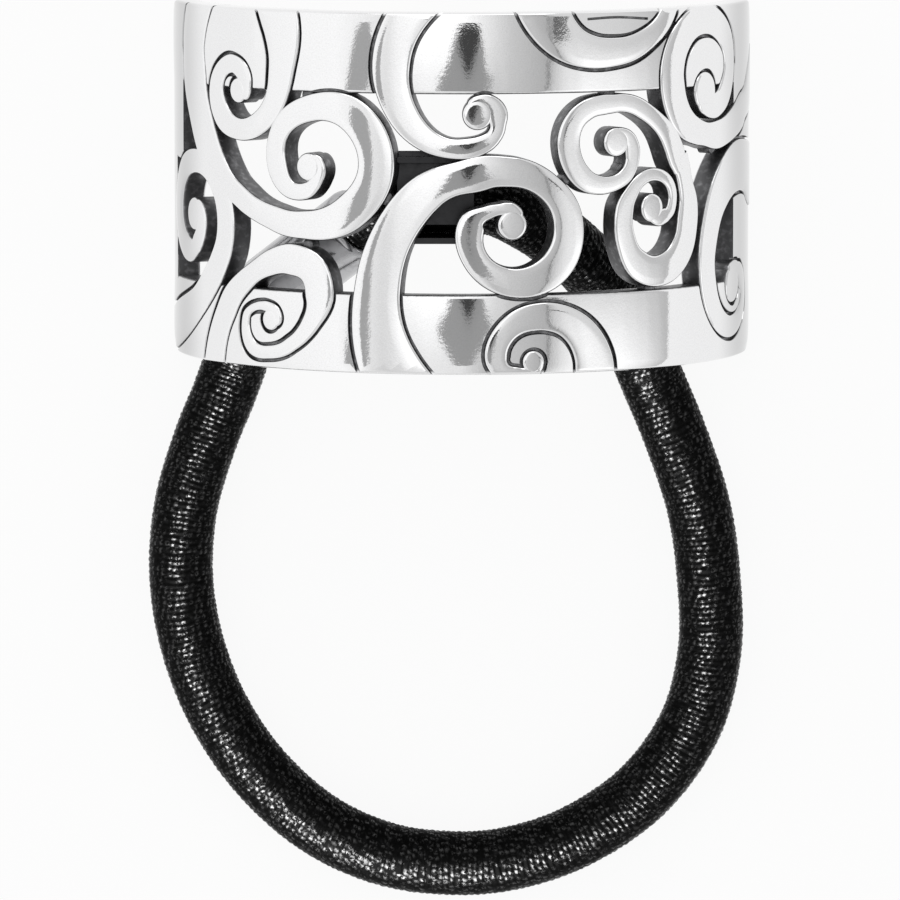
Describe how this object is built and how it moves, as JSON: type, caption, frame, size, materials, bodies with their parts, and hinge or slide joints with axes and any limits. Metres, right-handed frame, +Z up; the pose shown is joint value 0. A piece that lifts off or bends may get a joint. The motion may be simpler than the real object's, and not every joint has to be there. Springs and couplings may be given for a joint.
{
  "type": "hair tie",
  "caption": "Pierced scrollwork metal cuff that covers the front of a pony tail, on a round black elastic loop held by a saddle and joined by a sleeve.",
  "frame": {"origin": "on the surface that the cuff lies on, at the centre of the cuff's footprint", "axes": "+X across the cuff from its left end to its right end, +Y along the pony tail towards the cuff's upper edge and away from the loop, +Z up from the surface through the crown of the cuff"},
  "size_m": [0.0467, 0.07, 0.021],
  "materials": {
    "cast_metal": "polished cast white metal, blackened in the grooves and on the cut walls",
    "sleeve_metal": "drawn and lightly brushed",
    "elastic": "black thread wound round a rubber core"
  },
  "bodies": {
    "root": {"cuff": "cast_metal", "ferrule": "sleeve_metal", "elastic": "elastic"}
  },
  "joints": []
}
